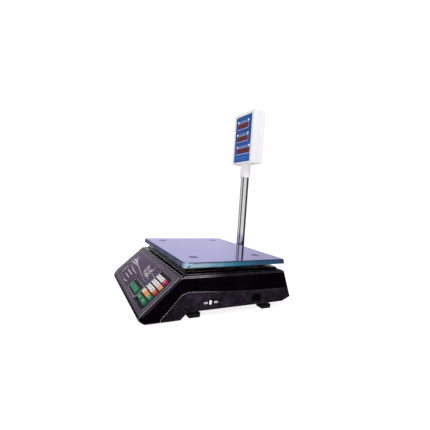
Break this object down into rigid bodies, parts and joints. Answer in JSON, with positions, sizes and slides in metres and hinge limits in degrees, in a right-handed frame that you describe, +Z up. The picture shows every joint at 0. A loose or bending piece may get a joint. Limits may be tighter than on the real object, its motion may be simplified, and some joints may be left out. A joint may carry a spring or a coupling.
{
  "type": "price computing scale",
  "caption": "Counter-top price-computing scale: steel platter on a black housing, sloping keypad panel, and a swivelling white display head on a chromed pole.",
  "frame": {"origin": "centre of the overall box on the table, under the four feet", "axes": "+Z up; the operator stands on the -Y side and faces +Y; +X is the operator's right"},
  "size_m": [0.35, 0.3726, 0.507],
  "materials": {
    "gloss_black": "gloss",
    "matte_black": "fine texture",
    "zinc_steel": "zinc plated",
    "panel_film": "gloss film",
    "circuit_board": "satin",
    "transformer_core": "satin",
    "battery_case": "satin",
    "machined_aluminium": "machined",
    "cast_alloy": "cast",
    "inlet_black": "satin",
    "nickel_pin": "bright",
    "white_plastic": "satin",
    "chrome_tube": "polished",
    "bracket_black": "satin",
    "vial": "clear",
    "black_rubber": "matte",
    "pan_steel": "gloss film over steel",
    "head_white": "satin",
    "blue_film": "gloss film",
    "red_window": "gloss",
    "foot_black": "matte",
    "key_white": "satin",
    "key_magenta": "satin",
    "key_peach": "satin",
    "key_rust": "satin",
    "key_cream": "satin",
    "key_orange": "satin",
    "key_gold": "satin",
    "key_teal": "satin",
    "key_green": "satin"
  },
  "bodies": {
    "base": {"upper_housing": "gloss_black", "lower_housing": "matte_black", "housing_screws": "zinc_steel", "panel_overlay": "panel_film", "key_board": "circuit_board", "main_board": "circuit_board", "power_board": "circuit_board", "transformer": "transformer_core", "battery": "battery_case", "battery_strap": "zinc_steel", "load_cell": "machined_aluminium", "load_cell_base": "cast_alloy", "load_cell_bolts": "zinc_steel", "power_inlet": "inlet_black", "inlet_pins": "nickel_pin", "power_switch_body": "inlet_black", "pole_tube": "chrome_tube", "pole_bracket": "bracket_black", "pole_bracket_screws": "zinc_steel", "level_vial": "vial"},
    "platform": {"pan_support": "cast_alloy", "pan_support_pads": "black_rubber", "platform_bolts": "zinc_steel"},
    "pan": {"weighing_pan": "pan_steel"},
    "display_head": {"pole_neck": "head_white", "head_front_shell": "head_white", "head_rear_shell": "head_white", "head_front_overlay": "blue_film", "head_front_windows": "red_window", "head_rear_overlay": "blue_film", "head_rear_windows": "red_window", "head_board": "circuit_board", "head_screws": "zinc_steel"},
    "power_switch": {"power_switch_knob": "white_plastic"},
    "key_r1c1_body": {"key_r1c1": "key_white"},
    "key_r1c2_body": {"key_r1c2": "key_white"},
    "key_r1c3_body": {"key_r1c3": "key_white"},
    "key_r1c4_body": {"key_r1c4": "key_magenta"},
    "key_r2c1_body": {"key_r2c1": "key_white"},
    "key_r2c2_body": {"key_r2c2": "key_white"},
    "key_r2c3_body": {"key_r2c3": "key_white"},
    "key_r2c4_body": {"key_r2c4": "key_peach"},
    "key_r3c1_body": {"key_r3c1": "key_white"},
    "key_r3c2_body": {"key_r3c2": "key_white"},
    "key_r3c3_body": {"key_r3c3": "key_white"},
    "key_r3c4_body": {"key_r3c4": "key_rust"},
    "key_r4c1_body": {"key_r4c1": "key_cream"},
    "key_r4c2_body": {"key_r4c2": "key_orange"},
    "key_r4c3_body": {"key_r4c3": "key_gold"},
    "key_r4c4_body": {"key_r4c4": "key_teal"},
    "key_r5_left_body": {"key_r5_left": "key_green"},
    "key_r5_right_body": {"key_r5_right": "key_green"},
    "memory_key_1_body": {"memory_key_1": "key_green"},
    "memory_key_2_body": {"memory_key_2": "key_green"},
    "memory_key_3_body": {"memory_key_3": "key_green"},
    "memory_key_4_body": {"memory_key_4": "key_green"},
    "foot_front_left_body": {"foot_front_left": "foot_black"},
    "foot_front_right_body": {"foot_front_right": "foot_black"},
    "foot_rear_left_body": {"foot_rear_left": "foot_black"},
    "foot_rear_right_body": {"foot_rear_right": "foot_black"}
  },
  "joints": [
    {"name": "platform_deflection", "type": "slide", "parent": "base", "child": "platform", "axis": [0, 0, -1], "range_m": [0, 0.0008], "stiffness_N_per_m": 200000, "springref_m": -0.00007, "deforming": ["load_cell"]},
    {"name": "pan_lift_off", "type": "slide", "parent": "platform", "child": "pan", "axis": [0, 0, 1], "range_m": [0, 0.06]},
    {"name": "head_swivel", "type": "hinge", "parent": "base", "child": "display_head", "pos_m": [-0.05825, 0.16525, 0.335], "axis": [0, 0, 1], "range_deg": [-170, 170]},
    {"name": "power_switch_slide", "type": "slide", "parent": "base", "child": "power_switch", "axis": [0, 1, 0], "range_m": [0, 0.0042]},
    {"name": "key_r1c1_press", "type": "slide", "parent": "base", "child": "key_r1c1_body", "axis": [0, 0.6806, -0.7327], "range_m": [0, 0.0012], "stiffness_N_per_m": 400, "springref_m": -0.001},
    {"name": "key_r1c2_press", "type": "slide", "parent": "base", "child": "key_r1c2_body", "axis": [0, 0.6806, -0.7327], "range_m": [0, 0.0012], "stiffness_N_per_m": 400, "springref_m": -0.001},
    {"name": "key_r1c3_press", "type": "slide", "parent": "base", "child": "key_r1c3_body", "axis": [0, 0.6806, -0.7327], "range_m": [0, 0.0012], "stiffness_N_per_m": 400, "springref_m": -0.001},
    {"name": "key_r1c4_press", "type": "slide", "parent": "base", "child": "key_r1c4_body", "axis": [0, 0.6806, -0.7327], "range_m": [0, 0.0012], "stiffness_N_per_m": 400, "springref_m": -0.001},
    {"name": "key_r2c1_press", "type": "slide", "parent": "base", "child": "key_r2c1_body", "axis": [0, 0.6806, -0.7327], "range_m": [0, 0.0012], "stiffness_N_per_m": 400, "springref_m": -0.001},
    {"name": "key_r2c2_press", "type": "slide", "parent": "base", "child": "key_r2c2_body", "axis": [0, 0.6806, -0.7327], "range_m": [0, 0.0012], "stiffness_N_per_m": 400, "springref_m": -0.001},
    {"name": "key_r2c3_press", "type": "slide", "parent": "base", "child": "key_r2c3_body", "axis": [0, 0.6806, -0.7327], "range_m": [0, 0.0012], "stiffness_N_per_m": 400, "springref_m": -0.001},
    {"name": "key_r2c4_press", "type": "slide", "parent": "base", "child": "key_r2c4_body", "axis": [0, 0.6806, -0.7327], "range_m": [0, 0.0012], "stiffness_N_per_m": 400, "springref_m": -0.001},
    {"name": "key_r3c1_press", "type": "slide", "parent": "base", "child": "key_r3c1_body", "axis": [0, 0.6806, -0.7327], "range_m": [0, 0.0012], "stiffness_N_per_m": 400, "springref_m": -0.001},
    {"name": "key_r3c2_press", "type": "slide", "parent": "base", "child": "key_r3c2_body", "axis": [0, 0.6806, -0.7327], "range_m": [0, 0.0012], "stiffness_N_per_m": 400, "springref_m": -0.001},
    {"name": "key_r3c3_press", "type": "slide", "parent": "base", "child": "key_r3c3_body", "axis": [0, 0.6806, -0.7327], "range_m": [0, 0.0012], "stiffness_N_per_m": 400, "springref_m": -0.001},
    {"name": "key_r3c4_press", "type": "slide", "parent": "base", "child": "key_r3c4_body", "axis": [0, 0.6806, -0.7327], "range_m": [0, 0.0012], "stiffness_N_per_m": 400, "springref_m": -0.001},
    {"name": "key_r4c1_press", "type": "slide", "parent": "base", "child": "key_r4c1_body", "axis": [0, 0.6806, -0.7327], "range_m": [0, 0.0012], "stiffness_N_per_m": 400, "springref_m": -0.001},
    {"name": "key_r4c2_press", "type": "slide", "parent": "base", "child": "key_r4c2_body", "axis": [0, 0.6806, -0.7327], "range_m": [0, 0.0012], "stiffness_N_per_m": 400, "springref_m": -0.001},
    {"name": "key_r4c3_press", "type": "slide", "parent": "base", "child": "key_r4c3_body", "axis": [0, 0.6806, -0.7327], "range_m": [0, 0.0012], "stiffness_N_per_m": 400, "springref_m": -0.001},
    {"name": "key_r4c4_press", "type": "slide", "parent": "base", "child": "key_r4c4_body", "axis": [0, 0.6806, -0.7327], "range_m": [0, 0.0012], "stiffness_N_per_m": 400, "springref_m": -0.001},
    {"name": "key_r5_left_press", "type": "slide", "parent": "base", "child": "key_r5_left_body", "axis": [0, 0.6806, -0.7327], "range_m": [0, 0.0012], "stiffness_N_per_m": 400, "springref_m": -0.001},
    {"name": "key_r5_right_press", "type": "slide", "parent": "base", "child": "key_r5_right_body", "axis": [0, 0.6806, -0.7327], "range_m": [0, 0.0012], "stiffness_N_per_m": 400, "springref_m": -0.001},
    {"name": "memory_key_1_press", "type": "slide", "parent": "base", "child": "memory_key_1_body", "axis": [0, 0.6806, -0.7327], "range_m": [0, 0.0012], "stiffness_N_per_m": 400, "springref_m": -0.001},
    {"name": "memory_key_2_press", "type": "slide", "parent": "base", "child": "memory_key_2_body", "axis": [0, 0.6806, -0.7327], "range_m": [0, 0.0012], "stiffness_N_per_m": 400, "springref_m": -0.001},
    {"name": "memory_key_3_press", "type": "slide", "parent": "base", "child": "memory_key_3_body", "axis": [0, 0.6806, -0.7327], "range_m": [0, 0.0012], "stiffness_N_per_m": 400, "springref_m": -0.001},
    {"name": "memory_key_4_press", "type": "slide", "parent": "base", "child": "memory_key_4_body", "axis": [0, 0.6806, -0.7327], "range_m": [0, 0.0012], "stiffness_N_per_m": 400, "springref_m": -0.001},
    {"name": "foot_front_left_height", "type": "slide", "parent": "base", "child": "foot_front_left_body", "axis": [0, 0, -1], "range_m": [-0.001, 0.006]},
    {"name": "foot_front_right_height", "type": "slide", "parent": "base", "child": "foot_front_right_body", "axis": [0, 0, -1], "range_m": [-0.001, 0.006]},
    {"name": "foot_rear_left_height", "type": "slide", "parent": "base", "child": "foot_rear_left_body", "axis": [0, 0, -1], "range_m": [-0.001, 0.006]},
    {"name": "foot_rear_right_height", "type": "slide", "parent": "base", "child": "foot_rear_right_body", "axis": [0, 0, -1], "range_m": [-0.001, 0.006]}
  ]
}
